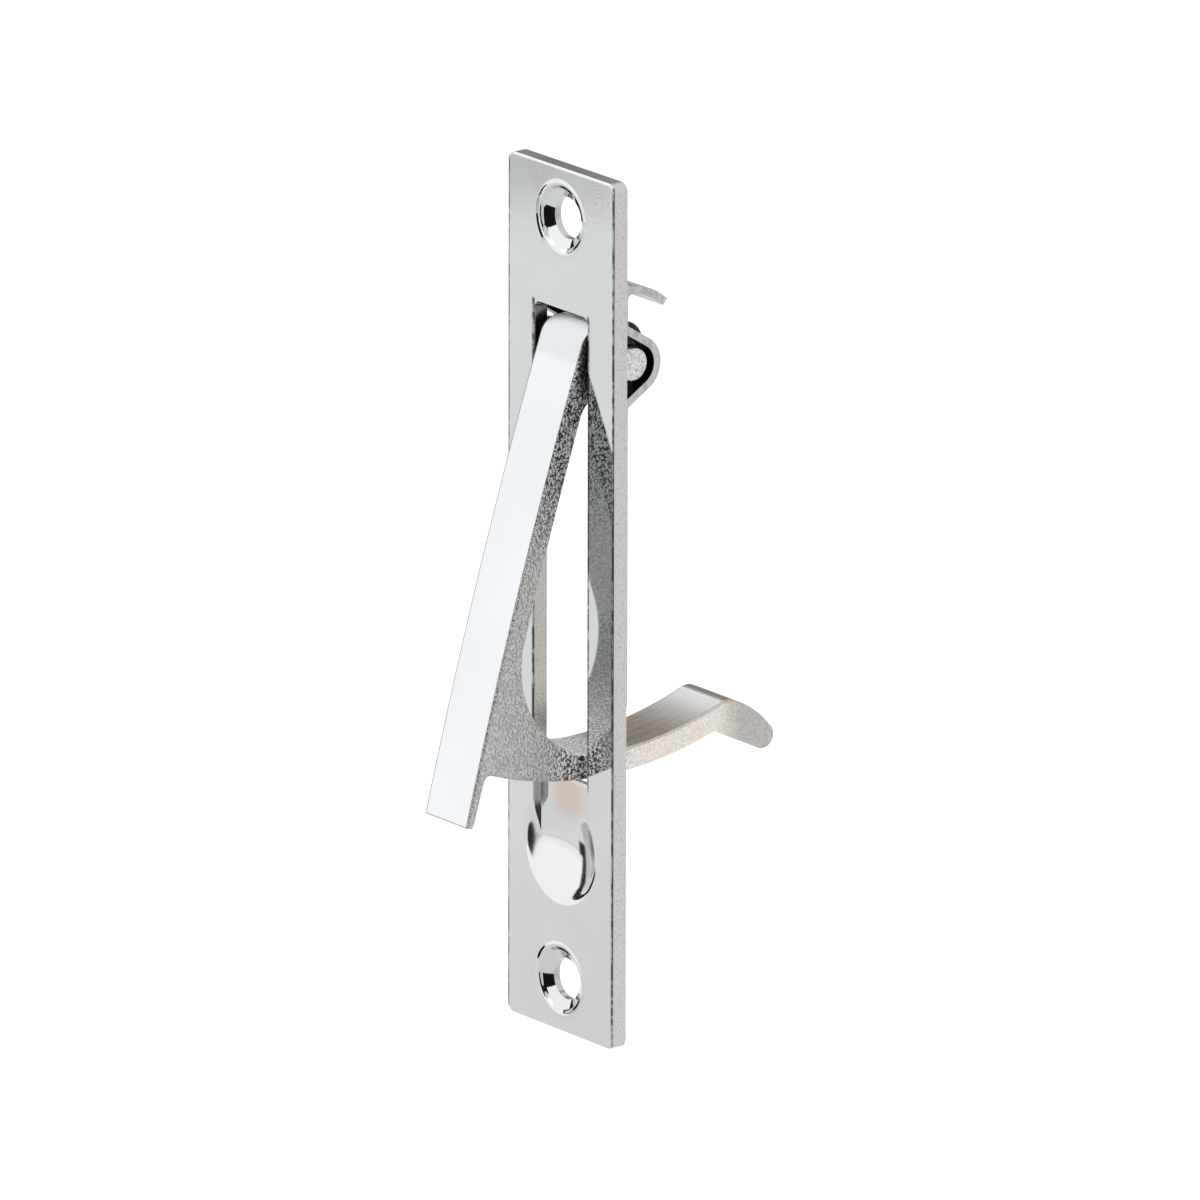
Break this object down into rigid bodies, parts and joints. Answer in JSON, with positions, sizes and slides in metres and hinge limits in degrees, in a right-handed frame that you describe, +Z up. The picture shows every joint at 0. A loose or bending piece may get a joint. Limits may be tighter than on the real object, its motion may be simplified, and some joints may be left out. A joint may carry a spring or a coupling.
{
  "type": "pocket door edge pull",
  "caption": "Edge pull for a pocket door: a polished face plate with countersunk screw holes, a long slot and a finger scoop, and a pivoting lever with a hooked tail.",
  "frame": {"origin": "midway between the two screw holes, on the plate's back face that seats on the door's edge", "axes": "+Z up along the plate, +X to the right seen from the front, -Y out of the door towards the person who pulls"},
  "size_m": [0.019, 0.0426, 0.0984],
  "materials": {
    "plate_chrome": "polished",
    "strap_plating": "satin",
    "pin_plating": "satin",
    "lever_chrome": "polished face with cast sides"
  },
  "bodies": {
    "plate": {"face_plate": "plate_chrome", "pivot_strap": "strap_plating"},
    "lever": {"pull_lever": "lever_chrome", "pivot_pin": "pin_plating"}
  },
  "joints": [
    {"name": "lever_swing", "type": "hinge", "parent": "plate", "child": "lever", "pos_m": [0, 0.0021, 0.0281], "axis": [-1, 0, 0], "range_deg": [-17, 20.9]}
  ]
}
